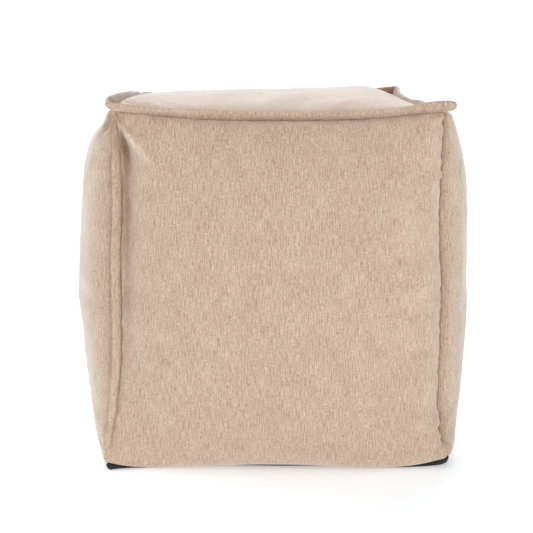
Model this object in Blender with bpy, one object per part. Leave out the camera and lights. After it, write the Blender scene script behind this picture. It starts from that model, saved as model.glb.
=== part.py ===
"""Cube pouf stool: a filled cube of heathered cloth with flanged seams and a black base cloth.

The origin is the middle of the base on the floor. X runs to the right, Y away from the front,
Z up. Each side panel is modelled facing -Y, with s from -1 at its left seam to 1 at its right
seam and t from 0 at the hem to 1 at the top seam, and is then turned into place.
"""

import math

import bmesh
import bpy
import numpy as np

# Upright seams: half the distance between facing seams.
SEAM_REACH_TOP = 0.214
SEAM_REACH_MIDDLE = 0.212
SEAM_REACH_HEM = 0.2235
SEAM_BOW = 3.0

# Each upright seam flares out to its corner of the hem: the height share over which it does, and
# the power by which the flare fades along a side.
FOOT_FLARE_SHARE = 0.100
FOOT_FLARE_POWER = 6

# Top seam: how far it is drawn in between two corners, and how its height runs between them.
TOP_SEAM_DRAW = 0.008
TOP_SEAM_BOW = 2.5
TOP_DRAW_FADE = 6.0

# Bulge of the side panels. The exponents set how steeply the cloth leaves a seam.
WIDEST_SHARE = 0.51
FOOT_POWER = 0.46

# Crown of the top panel, a little higher towards the right. The bank is the share of it that rises
# steeply beside the front and back seams. The rest is a dome.
CROWN_HEIGHT = 0.0370
CROWN_LEFT_POWER = 0.12
CROWN_RIGHT_RUN = 6
CROWN_DEPTH_RUN = 8
CROWN_DEPTH_POWER = 0.35
CROWN_BANK = 0.40
CROWN_TILT = 0.46
CROWN_TWIST = 0.26

# Hem: lifted at the corners, down at the quarter points and arched in the middle.
HEM_LOW = 0.0009
HEM_ARCH = 0.0042
HEM_ARCH_POWER = 3
HEM_LEAN_FADE = 4

# Base cloth: thickness where it lies flat, and the share of the way from the hem to the flat.
BASE_THICKNESS = 0.0025
BASE_BAND = 0.020
BASE_ROUNDING = 0.0030
BASE_CORNER_POWER = 8
BASE_BELLY_HEIGHT = 0.45
BASE_BELLY_INSET = 0.25
BASE_EDGE_GAP = 0.0020
BASE_LEAST_EDGE = 0.0004
BASE_FLAT_GAP = 0.0008

# Flanges: how the top one turns through the corners, and the form of the upright ones.
CORNER_TURN = math.radians(45)
CORNER_TURN_POWER = 16
CORNER_FLANGE_WIDTH = 0.0145
CORNER_FLANGE_END_WIDTH = 0.0105
CORNER_FLANGE_TOP = 0.988
CORNER_FLANGE_FOOT = 0.040
CORNER_FLANGE_FULLNESS = 0.55
CORNER_FLANGE_TAPER_POWER = 4
CORNER_FLANGE_SWAY = math.radians(4)
CORNER_FLANGE_WAVES = 3.3

# Cells of each panel, crowded towards the seams.
PANEL_CELLS = 24
EDGE_CROWDING = 2.2
CORNER_FLANGE_STATIONS = 22
WELD = 1e-5

# name, turn in degrees, bulge at its widest, bulge at the hem, top seam height in the middle,
# corner at s = -1, corner at s = 1, shoulder power, lean of the hem (out on the right of the
# side and in on its left), powers by which the bulge rises from the seams at s = -1 and s = 1
SIDES = (
    ("front", 0, 0.078, 0.004, 0.470, "front_left", "front_right", 0.50, 0.0100, 0.62, 0.46),
    ("right", 90, 0.0715, 0.017, 0.478, "front_right", "back_right", 0.26, 0.0, 0.40, 0.44),
    ("back", 180, 0.078, 0.006, 0.473, "back_right", "back_left", 0.36, -0.0040, 0.50, 0.42),
    ("left", 270, 0.0835, 0.014, 0.485, "back_left", "front_left", 0.28, 0.0, 0.42, 0.40),
)

# corner: top seam height there, flare of the foot of its upright seam, heading in degrees in
# which its flange leaves the seam, and how far the flange's edge bends off that, as a share of
# its width
CORNERS = {
    "front_left": (0.4845, 0.0090, -50.0, -0.20),
    "front_right": (0.4830, 0.0030, -30.0, 0.26),
    "back_right": (0.4890, 0.0040, -52.0, -0.15),
    "back_left": (0.4840, 0.0040, -38.0, 0.18),
}

# corner: how far the hem lifts there, the power by which that fades along the hem, and how far
# the base cloth's foot is rounded off there
HEM_CORNERS = {
    "front_left": (0.0115, 12, 0.0020),
    "front_right": (0.0140, 6, 0.0045),
    "back_right": (0.0110, 9, 0.0050),
    "back_left": (0.0100, 12, 0.0050),
}

# Form of the top flange along each side: place from -1 at its first corner to 1 at its last
# corner, width, slope in degrees, fullness
TOP_FLANGE = {
    "front": (
        (-1.00, 0.0200, 30, 1.35),
        (-0.90, 0.0155, 40, 1.20),
        (-0.80, 0.0140, 48, 1.00),
        (-0.50, 0.0155, 58, 1.00),
        (0.00, 0.0148, 51, 1.00),
        (0.45, 0.0130, 45, 1.00),
        (0.70, 0.0160, 50, 1.00),
        (0.94, 0.0180, 57, 1.60),
        (1.00, 0.0225, 28, 2.00),
    ),
    "right": (
        (-1.00, 0.0225, 28, 2.00),
        (-0.93, 0.0175, 50, 1.60),
        (-0.55, 0.0130, 42, 1.00),
        (-0.25, 0.0145, 57, 1.00),
        (0.10, 0.0135, 50, 1.00),
        (0.55, 0.0142, 56, 1.00),
        (0.85, 0.0150, 50, 1.20),
        (1.00, 0.0180, 44, 1.80),
    ),
    "back": (
        (-1.00, 0.0180, 44, 1.80),
        (-0.88, 0.0180, 56, 1.30),
        (-0.70, 0.0148, 50, 1.00),
        (0.20, 0.0150, 54, 1.00),
        (0.70, 0.0138, 46, 1.00),
        (1.00, 0.0165, 42, 1.30),
    ),
    "left": (
        (-1.00, 0.0165, 42, 1.30),
        (-0.80, 0.0150, 46, 1.10),
        (-0.45, 0.0150, 47, 1.00),
        (0.00, 0.0185, 66, 1.00),
        (0.40, 0.0215, 70, 1.00),
        (0.70, 0.0232, 60, 1.15),
        (0.88, 0.0235, 49, 1.30),
        (1.00, 0.0200, 30, 1.35),
    ),
}

# Folds: side, start along the side and height, end along the side and height, depth (a ridge is
# positive, a trough negative), half-width
FOLDS = (
    ("front", -0.205, 0.477, -0.158, 0.423, 0.0070, 0.0100),
    ("front", -0.203, 0.462, -0.179, 0.408, -0.0100, 0.0120),
    ("front", -0.178, 0.403, -0.166, 0.284, -0.0018, 0.0120),
    ("left", 0.205, 0.477, 0.192, 0.446, -0.0085, 0.0090),
    ("left", 0.209, 0.247, 0.173, 0.215, -0.0035, 0.0100),
    ("left", 0.214, 0.029, 0.186, 0.023, -0.0040, 0.0070),
    ("right", -0.213, 0.052, -0.198, 0.021, -0.0035, 0.0080),
)
FOLD_SEAM_FADE = 0.03
FOLD_END_FADE = 0.25

# Share of the flange's width, half-thickness there.
FLANGE_PROFILE = (
    (0.13, 0.0006),
    (0.36, 0.0019),
    (0.68, 0.0029),
    (0.90, 0.0021),
)

# Place along a side, share of the band by which the base cloth is tucked in there.
BASE_TUCK = (
    (-1.00, 0.00),
    (-0.82, 0.05),
    (-0.72, 0.38),
    (-0.55, 0.50),
    (-0.35, 0.30),
    (0.00, 0.22),
    (0.25, 0.30),
    (0.45, 0.50),
    (0.58, 0.35),
    (0.70, 0.05),
    (1.00, 0.00),
)

# name, colour, roughness
COVER_CLOTH = ("heathered_cloth", (0.60, 0.45, 0.34), 0.95)
BLACK_CLOTH = ("black_cloth", (0.018, 0.018, 0.018), 0.90)


def clear_scene():
    for obj in list(bpy.data.objects):
        bpy.data.objects.remove(obj, do_unlink=True)


def material(name, colour, roughness):
    made = bpy.data.materials.get(name) or bpy.data.materials.new(name)
    made.use_nodes = True
    shader = made.node_tree.nodes["Principled BSDF"]
    shader.inputs["Base Color"].default_value = (*colour, 1.0)
    shader.inputs["Roughness"].default_value = roughness
    shader.inputs["Metallic"].default_value = 0.0
    return made


def add_object(name, points, faces, cloth):
    """Makes one closed mesh, welds its panels along their shared edges and turns its faces out."""
    mesh = bpy.data.meshes.new(name)
    mesh.from_pydata([tuple(map(float, p)) for p in points], [], faces)
    shape = bmesh.new()
    shape.from_mesh(mesh)
    bmesh.ops.remove_doubles(shape, verts=shape.verts, dist=WELD)
    bmesh.ops.recalc_face_normals(shape, faces=shape.faces)
    shape.to_mesh(mesh)
    shape.free()
    mesh.shade_smooth()
    mesh.materials.append(material(*cloth))
    obj = bpy.data.objects.new(name, mesh)
    bpy.context.scene.collection.objects.link(obj)
    return obj


def turned(points, degrees):
    """The points turned about the upright axis."""
    c, s = math.cos(math.radians(degrees)), math.sin(math.radians(degrees))
    return points @ np.array(((c, s, 0.0), (-s, c, 0.0), (0.0, 0.0, 1.0)))


def crowded(cells):
    """Places from -1 to 1, closer together towards both ends."""
    u = np.linspace(-1.0, 1.0, cells + 1)
    return np.sign(u) * (1.0 - (1.0 - np.abs(u)) ** EDGE_CROWDING)


def seam_reach(t, flare):
    """Half the distance between facing upright seams at height share t."""
    end = np.where(t > 0.5, SEAM_REACH_TOP, SEAM_REACH_HEM)
    bowed = SEAM_REACH_MIDDLE + (end - SEAM_REACH_MIDDLE) * np.abs(2.0 * t - 1.0) ** SEAM_BOW
    return bowed + flare * np.exp(-((t / FOOT_FLARE_SHARE) ** 2))


def top_seam_height(row, s):
    """Height of the side's top seam at s, from its middle height to those of its two corners."""
    middle, first, last = row[4:7]
    near_first = np.clip(-s, 0.0, 1.0) ** TOP_SEAM_BOW
    near_last = np.clip(s, 0.0, 1.0) ** TOP_SEAM_BOW
    rise_first = CORNERS[first][0] - middle
    rise_last = CORNERS[last][0] - middle
    return middle + rise_first * near_first + rise_last * near_last


def top_draw(s):
    """How far the top seam is drawn in at s."""
    return TOP_SEAM_DRAW * (1.0 - np.abs(s) ** TOP_SEAM_BOW)


def hem_height(row, s):
    height = HEM_LOW + HEM_ARCH * (1.0 - s**2) ** HEM_ARCH_POWER
    for corner, towards in ((row[5], -s), (row[6], s)):
        lift, power = HEM_CORNERS[corner][:2]
        height = height + lift * np.clip(towards, 0.0, 1.0) ** power
    return height


def bulge_share(t, hem_share, shoulder_power):
    """Bulge at height share t: full at the widest height, none at the top seam."""
    above = np.clip((t - WIDEST_SHARE) / (1.0 - WIDEST_SHARE), 0.0, 1.0)
    below = np.clip((WIDEST_SHARE - t) / WIDEST_SHARE, 0.0, 1.0)
    shoulder = (1.0 - above**2) ** shoulder_power
    foot = hem_share + (1.0 - hem_share) * (1.0 - below**2) ** FOOT_POWER
    return np.where(t > WIDEST_SHARE, shoulder, foot)


def fold_depth(side, s, t, x, z):
    """Ridges and troughs of the side's folds, faded at the seams and at each fold's ends."""
    depth = np.zeros_like(x)
    for name, x0, z0, x1, z1, height, half_width in FOLDS:
        if name != side:
            continue
        length = math.hypot(x1 - x0, z1 - z0)
        along = ((x - x0) * (x1 - x0) + (z - z0) * (z1 - z0)) / length
        away = np.abs((x - x0) * (z1 - z0) - (z - z0) * (x1 - x0)) / length
        fade = np.clip((length - along) / (FOLD_END_FADE * length), 0.0, 1.0)
        fade *= np.clip((along + half_width) / half_width, 0.0, 1.0)
        depth += height * fade * np.exp(-((away / half_width) ** 2))
    edge = np.minimum(1.0 - np.abs(s), np.minimum(t, 1.0 - t))
    return depth * np.clip(edge / FOLD_SEAM_FADE, 0.0, 1.0)


def side_surface(row, s, t):
    """Points of a side panel at s and t, turned into place."""
    name, turn, bulge, hem_bulge = row[:4]
    shoulder_power, hem_lean, rise_first, rise_last = row[7:]
    flare_first, flare_last = CORNERS[row[5]][1], CORNERS[row[6]][1]
    flare = flare_first * np.clip(-s, 0.0, 1.0) ** FOOT_FLARE_POWER
    flare = flare + flare_last * np.clip(s, 0.0, 1.0) ** FOOT_FLARE_POWER
    reach = seam_reach(t, flare)
    low = hem_height(row, s)
    x = s * reach
    z = low + (top_seam_height(row, s) - low) * t
    rise = 0.5 * (rise_first * (1.0 - s) + rise_last * (1.0 + s))
    across = np.clip(1.0 - s**2, 0.0, 1.0) ** rise
    out = reach - top_draw(s) * t**TOP_DRAW_FADE
    out = out + bulge * bulge_share(t, hem_bulge / bulge, shoulder_power) * across
    out = out + hem_lean * s * np.sqrt(np.clip(1.0 - s**2, 0.0, 1.0)) * (1.0 - t) ** HEM_LEAN_FADE
    out = out + fold_depth(name, s, t, x, z)
    return turned(np.stack([x, -out, z], axis=-1), turn)


def top_surface(p, q):
    """Points of the top panel, p from left to right and q from front to back.

    Flat is the sheet blended between the four top seams, on which the crown stands.
    """
    front, right, back, left = (top_seam_height(row, u) for row, u in zip(SIDES, (p, q, -p, -q)))
    fl, fr, br, bl = (CORNERS[row[5]][0] for row in SIDES)
    flat = 0.5 * (front * (1 - q) + back * (1 + q) + left * (1 - p) + right * (1 + p))
    flat = flat - 0.25 * ((fl * (1 - p) + fr * (1 + p)) * (1 - q) + (bl * (1 - p) + br * (1 + p)) * (1 + q))
    left_part = np.clip(1.0 - p**2, 0.0, 1.0) ** CROWN_LEFT_POWER
    right_part = 1.0 - np.abs(p) ** CROWN_RIGHT_RUN
    crown = np.where(p < 0.0, left_part, right_part)
    bank = np.clip(1.0 - np.abs(q) ** CROWN_DEPTH_RUN, 0.0, 1.0) ** CROWN_DEPTH_POWER
    crown = crown * (CROWN_BANK * bank + (1.0 - CROWN_BANK) * (1.0 - q**2))
    z = flat + CROWN_HEIGHT * crown * (1.0 + CROWN_TILT * 0.5 * p * (1.0 - p) + CROWN_TWIST * p * q)
    x = p * (SEAM_REACH_TOP - top_draw(q))
    y = q * (SEAM_REACH_TOP - top_draw(p))
    return np.stack([x, y, z], axis=-1)


def grid_faces(rows, columns, start):
    return [
        (start + r * columns + c, start + r * columns + c + 1,
         start + (r + 1) * columns + c + 1, start + (r + 1) * columns + c)
        for r in range(rows - 1)
        for c in range(columns - 1)
    ]


def ring_faces(first, second, count):
    """Faces between two closed rings of points."""
    return [
        (first + i, first + (i + 1) % count, second + (i + 1) % count, second + i)
        for i in range(count)
    ]


def all_round(function):
    """One closed ring of points from function(side row, s) over the four sides."""
    s = crowded(PANEL_CELLS)[:-1]
    return np.concatenate([function(row, s) for row in SIDES])


def hem_ring():
    return all_round(lambda row, s: side_surface(row, s, np.zeros_like(s)))


def towards_flat(ring, share, height):
    """The ring moved by a share of the band towards the flat of the underside."""
    scale = 1.0 - share * BASE_BAND / SEAM_REACH_HEM
    moved = ring * scale[:, None]
    moved[:, 2] = ring[:, 2] + (height - ring[:, 2]) * share
    return moved


def build_cover():
    """The filled cube: four side panels, the top panel and a flat underside."""
    at = crowded(PANEL_CELLS)
    columns = len(at)
    points, faces = [], []
    s, t = np.meshgrid(at, 0.5 * (1.0 + at))
    panels = [side_surface(row, s, t) for row in SIDES]
    panels.append(top_surface(*np.meshgrid(at, at)))
    for panel in panels:
        faces += grid_faces(columns, columns, len(points) * columns**2)
        points.append(panel.reshape(-1, 3))
    points = np.concatenate(points)

    hem = hem_ring()
    count = len(hem)
    flat = towards_flat(hem, np.ones(count), BASE_THICKNESS + BASE_FLAT_GAP)
    start = len(points)
    faces += ring_faces(start, start + count, count)
    faces.append(tuple(range(start + count, start + 2 * count)))
    points = np.concatenate([points, hem, flat])
    return add_object("filled_cover", points, faces, COVER_CLOTH)


def base_place(row, s):
    """Share of the band by which the base cloth's edge is tucked in at s."""
    return np.interp(s, *zip(*BASE_TUCK))


def base_foot_inset(row, s):
    """How far the base cloth's foot on the floor lies inside its edge at s."""
    first, last = HEM_CORNERS[row[5]][2], HEM_CORNERS[row[6]][2]
    rounding = np.where(s < 0.0, first, last)
    return BASE_ROUNDING + rounding * np.abs(s) ** BASE_CORNER_POWER


def build_base():
    """The base cloth: flat on the floor, turned up to the hem at its corners."""
    hem = hem_ring()
    count = len(hem)
    edge = towards_flat(hem, all_round(base_place), BASE_THICKNESS + BASE_FLAT_GAP)
    edge[:, 2] = np.maximum(edge[:, 2] - BASE_EDGE_GAP, BASE_LEAST_EDGE)
    flat = towards_flat(hem, np.ones(count), BASE_THICKNESS)
    inset = (all_round(base_foot_inset) / SEAM_REACH_HEM)[:, None]
    foot = edge * (1.0 - inset)
    foot[:, 2] = 0.0
    belly = edge * (1.0 - BASE_BELLY_INSET * inset)
    belly[:, 2] = edge[:, 2] * BASE_BELLY_HEIGHT
    rings = [flat, edge, belly, foot]
    faces = [tuple(range(count))]
    for i in range(len(rings) - 1):
        faces += ring_faces(i * count, (i + 1) * count, count)
    faces.append(tuple(range((len(rings) - 1) * count, len(rings) * count)))
    return add_object("base_cloth", np.concatenate(rings), faces, BLACK_CLOTH)


def flange_section(root, out, up, width, fullness, bend=0.0):
    """One section of a flange at each root point, from its stitched root out to its free edge.

    out points along the flange's width and up across its thickness. The edge bends off
    towards up by a share of the width.
    """
    upper, lower = [], []
    for share, half in FLANGE_PROFILE:
        middle = root + out * (width * share)[:, None] + up * (bend * width * share**2)[:, None]
        side = up * (half * fullness)[:, None]
        upper.append(middle + side)
        lower.append(middle - side)
    tip = root + (out + bend * up) * width[:, None]
    return np.stack(upper + [tip] + lower[::-1], axis=1)


def tube_faces(stations, around, closed):
    faces = []
    for i in range(stations if closed else stations - 1):
        a, b = i * around, (i + 1) % stations * around
        faces += ring_faces(a, b, around)
    if not closed:
        faces.append(tuple(range(around)))
        faces.append(tuple(range((stations - 1) * around, stations * around)))
    return faces


def eased(table, column, s):
    """The table's column at s, easing in and out between its rows."""
    places = np.array([row[0] for row in table])
    values = np.array([row[column] for row in table])
    i = np.clip(np.searchsorted(places, s, side="right") - 1, 0, len(places) - 2)
    share = np.clip((s - places[i]) / (places[i + 1] - places[i]), 0.0, 1.0)
    share = share**2 * (3.0 - 2.0 * share)
    return values[i] + (values[i + 1] - values[i]) * share


def top_flange_sections(row, s):
    """Sections of the top flange along one side."""
    width, slope, fullness = (eased(TOP_FLANGE[row[0]], column, s) for column in (1, 2, 3))
    slope = np.radians(slope)
    heading = CORNER_TURN * np.sign(s) * np.abs(s) ** CORNER_TURN_POWER
    level = np.stack([np.sin(heading), -np.cos(heading), np.zeros_like(s)], axis=1)
    upright = np.array((0.0, 0.0, 1.0))
    out = level * np.cos(slope)[:, None] + upright * np.sin(slope)[:, None]
    up = upright * np.cos(slope)[:, None] - level * np.sin(slope)[:, None]
    height = top_seam_height(row, s)
    root = np.stack([s * SEAM_REACH_TOP, top_draw(s) - SEAM_REACH_TOP, height], axis=1)
    sections = flange_section(root, out, up, width, fullness)
    return turned(sections.reshape(-1, 3), row[1])


def build_top_flange():
    """The folded strip round the top panel, as one closed ring."""
    points = all_round(top_flange_sections)
    around = 2 * len(FLANGE_PROFILE) + 1
    faces = tube_faces(len(points) // around, around, closed=True)
    return add_object("top_flange", points, faces, COVER_CLOTH)


def build_corner_flange(row):
    """The folded strip in the upright seam at the side's left edge."""
    turn, corner = row[1], row[5]
    up_the_seam = 0.5 * (1.0 + crowded(CORNER_FLANGE_STATIONS))
    t = CORNER_FLANGE_FOOT + (CORNER_FLANGE_TOP - CORNER_FLANGE_FOOT) * up_the_seam
    top, flare, root_heading, bend = CORNERS[corner]
    reach = seam_reach(t, flare)
    low = HEM_LOW + HEM_CORNERS[corner][0]
    z = low + (top - low) * t
    root = np.stack([-reach, -reach, z], axis=1)
    sway = CORNER_FLANGE_SWAY * np.sin(CORNER_FLANGE_WAVES * math.pi * t)
    heading = sway + math.radians(root_heading)
    out = np.stack([np.sin(heading), -np.cos(heading), np.zeros_like(t)], axis=1)
    across = np.stack([np.cos(heading), np.sin(heading), np.zeros_like(t)], axis=1)
    full = 1.0 - np.abs(2.0 * up_the_seam - 1.0) ** CORNER_FLANGE_TAPER_POWER
    width = CORNER_FLANGE_END_WIDTH + (CORNER_FLANGE_WIDTH - CORNER_FLANGE_END_WIDTH) * full
    fullness = np.full(len(t), CORNER_FLANGE_FULLNESS)
    sections = flange_section(root, out, across, width, fullness, bend)
    points = turned(sections.reshape(-1, 3), turn)
    around = 2 * len(FLANGE_PROFILE) + 1
    faces = tube_faces(len(t), around, closed=False)
    return add_object("corner_flange_" + corner, points, faces, COVER_CLOTH)


def main():
    clear_scene()
    build_cover()
    build_top_flange()
    for row in SIDES:
        build_corner_flange(row)
    build_base()


main()
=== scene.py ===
"""Cube pouf stool: the cloth surfaces, the cloths themselves and a plain studio.

Lengths are in metres. The origin is the middle of the base on the floor, X runs to the right,
Y away from the front and Z up. A side panel is worked out facing -Y, with s from -1 at its
left seam to 1 at its right seam and t from 0 at the hem to 1 at the top seam, and is then
turned into place. The top panel runs over p, from left to right, and q, from front to back.
"""

import math

import bmesh
import bpy
import numpy as np
from bpy.props import FloatProperty, FloatVectorProperty, IntProperty, PointerProperty
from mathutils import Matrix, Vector


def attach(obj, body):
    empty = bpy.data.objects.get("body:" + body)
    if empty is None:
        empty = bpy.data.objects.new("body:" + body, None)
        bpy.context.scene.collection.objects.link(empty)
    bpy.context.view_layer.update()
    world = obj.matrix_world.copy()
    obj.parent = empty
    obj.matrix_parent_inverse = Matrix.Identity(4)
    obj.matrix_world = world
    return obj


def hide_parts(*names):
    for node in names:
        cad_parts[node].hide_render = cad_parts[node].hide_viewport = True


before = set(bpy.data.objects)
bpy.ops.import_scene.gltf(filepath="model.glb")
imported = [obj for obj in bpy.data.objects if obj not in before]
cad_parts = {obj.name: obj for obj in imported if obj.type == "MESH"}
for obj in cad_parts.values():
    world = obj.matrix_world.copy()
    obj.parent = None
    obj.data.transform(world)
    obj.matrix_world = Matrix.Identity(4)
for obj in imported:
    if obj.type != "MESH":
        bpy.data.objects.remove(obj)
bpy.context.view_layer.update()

bl_info = {
    "name": "Cube Pouf Stool",
    "version": (1, 0, 0),
    "blender": (4, 5, 0),
    "location": "3D View > Sidebar > Pouf",
    "description": "A filled cube of heathered cloth with flanged seams and a black base cloth",
    "category": "Add Mesh",
}

# How the seams, bulges, crown and hem run between the sizes that the panel offers.
SEAM_BOW = 3.0
FOOT_FLARE_SHARE = 0.100
FOOT_FLARE_POWER = 6
TOP_SEAM_BOW = 2.5
TOP_DRAW_FADE = 6.0
WIDEST_SHARE = 0.51
FOOT_POWER = 0.46
CROWN_LEFT_POWER = 0.12
CROWN_RIGHT_RUN = 6
CROWN_DEPTH_RUN = 8
CROWN_DEPTH_POWER = 0.35
CROWN_BANK = 0.40
CROWN_TILT = 0.46
CROWN_TWIST = 0.26
HEM_LOW = 0.0009
HEM_ARCH_POWER = 3
HEM_LEAN_FADE = 4

# Base cloth: its thickness, its turned-up band and the gaps to the cover.
BASE_THICKNESS = 0.0025
BASE_BAND = 0.020
BASE_ROUNDING = 0.0030
BASE_CORNER_POWER = 8
BASE_BAND_STEPS = 7
BASE_EDGE_GAP = 0.0020
BASE_LEAST_EDGE = 0.0004
BASE_FLAT_GAP = 0.0008
BASE_TUCK = (
    (-1.0, 0.0), (-0.82, 0.05), (-0.72, 0.38), (-0.55, 0.5), (-0.35, 0.3), (0.0, 0.22), (0.25, 0.3),
    (0.45, 0.5), (0.58, 0.35), (0.7, 0.05), (1.0, 0.0),
)

CORNER_TURN = math.radians(45)
CORNER_TURN_POWER = 16
CORNER_FLANGE_TOP = 0.988
CORNER_FLANGE_FOOT = 0.040
CORNER_FLANGE_TAPER_POWER = 4
CORNER_FLANGE_SWAY = math.radians(4)
CORNER_FLANGE_WAVES = 3.3
CORNER_SLIT = 0.0012

# Upright flanges: share of the seam from the foot up, share of the width there, and how much
# painted shade the strip takes there beyond its root.
STRIP_TAPER_AND_SHADE = {
    "front_left": (
        (0.0, 1.0, 0.0), (0.72, 1.0, 0.0), (0.86, 0.95, 0.3), (0.93, 0.75, 0.75), (1.0, 0.4, 1.0),
    ),
    "front_right": ((0.0, 1.0, 0.0), (0.88, 1.0, 0.0), (1.0, 0.7, 0.4)),
    "back_right": ((0.0, 1.0, 0.0), (0.82, 1.0, 0.0), (1.0, 0.5, 0.6)),
    "back_left": ((0.0, 1.0, 0.0), (0.85, 1.0, 0.0), (1.0, 0.6, 0.6)),
}

# name, turn in degrees, bulge at its widest, bulge at the hem, top seam height in the middle,
# corner at s = -1, corner at s = 1, shoulder power, lean of the hem (out on the right of the
# side and in on its left), powers by which the bulge rises from the seams at s = -1 and s = 1
SIDES = (
    ("front", 0, 0.078, 0.004, 0.47, "front_left", "front_right", 0.5, 0.01, 0.62, 0.46),
    ("right", 90, 0.0715, 0.017, 0.478, "front_right", "back_right", 0.26, 0.0, 0.4, 0.44),
    ("back", 180, 0.078, 0.006, 0.473, "back_right", "back_left", 0.36, -0.004, 0.5, 0.42),
    ("left", 270, 0.0835, 0.014, 0.485, "back_left", "front_left", 0.28, 0.0, 0.42, 0.4),
)

# corner: top seam height there, flare of the foot of its upright seam, heading in degrees in
# which its flange leaves the seam, and how far the flange's edge bends off that, as a share of
# its width
CORNERS = {
    "front_left": (0.4845, 0.0090, -50.0, -0.20),
    "front_right": (0.4830, 0.0030, -30.0, 0.26),
    "back_right": (0.4890, 0.0040, -52.0, -0.15),
    "back_left": (0.4840, 0.0040, -38.0, 0.18),
}

# corner: how far the hem lifts there, the power by which that fades along the hem, and how far
# the base cloth's foot is rounded off there
HEM_CORNERS = {
    "front_left": (0.0115, 12, 0.0020),
    "front_right": (0.0140, 6, 0.0045),
    "back_right": (0.0110, 9, 0.0050),
    "back_left": (0.0100, 12, 0.0050),
}

# corner: (height, how far the upright seam is drawn in there)
SEAM_WANDER = {
    "front_left": (
        (0.02, 0.0), (0.055, -0.0035), (0.085, -0.0035), (0.17, 0.0), (0.29, 0.0), (0.36, 0.003),
        (0.42, 0.0025), (0.475, 0.0),
    ),
    "front_right": (
        (0.022, 0.0), (0.034, 0.0045), (0.045, 0.005), (0.052, 0.006), (0.062, 0.001),
        (0.085, 0.003), (0.12, 0.0), (0.17, -0.002), (0.25, -0.003), (0.31, 0.0), (0.35, 0.001),
        (0.42, 0.0),
    ),
    "back_right": ((0.05, 0.0), (0.12, 0.0025), (0.22, -0.0015), (0.34, 0.0025), (0.44, 0.0)),
    "back_left": ((0.05, 0.0), (0.15, -0.002), (0.27, 0.003), (0.37, 0.0), (0.44, 0.0)),
}
WANDER_REACH = 0.030
SEAM_WANDER_CORNER = 0.214

# Top flange along each side: place from -1 at its first corner to 1 at its last corner, width,
# slope in degrees, fullness
TOP_FLANGE = {
    "front": (
        (-1.0, 0.02, 30, 1.35), (-0.9, 0.0155, 40, 1.2), (-0.8, 0.014, 48, 1.0),
        (-0.5, 0.0155, 58, 1.0), (0.0, 0.0148, 51, 1.0), (0.45, 0.013, 45, 1.0),
        (0.7, 0.016, 50, 1.0), (0.94, 0.018, 57, 1.6), (1.0, 0.0225, 28, 2.0),
    ),
    "right": (
        (-1.0, 0.0225, 28, 2.0), (-0.93, 0.0175, 50, 1.6), (-0.55, 0.013, 42, 1.0),
        (-0.25, 0.0145, 57, 1.0), (0.1, 0.0135, 50, 1.0), (0.55, 0.0142, 56, 1.0),
        (0.85, 0.015, 50, 1.2), (1.0, 0.018, 44, 1.8),
    ),
    "back": (
        (-1.0, 0.018, 44, 1.8), (-0.88, 0.018, 56, 1.3), (-0.7, 0.0148, 50, 1.0),
        (0.2, 0.015, 54, 1.0), (0.7, 0.0138, 46, 1.0), (1.0, 0.0125, 36, 1.3),
    ),
    "left": (
        (-1.0, 0.0125, 36, 1.3), (-0.8, 0.014, 46, 1.1), (-0.45, 0.015, 47, 1.0),
        (0.0, 0.0185, 66, 1.0), (0.4, 0.0215, 70, 1.0), (0.7, 0.0232, 60, 1.15),
        (0.88, 0.0235, 49, 1.3), (1.0, 0.02, 30, 1.35),
    ),
}

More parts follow.
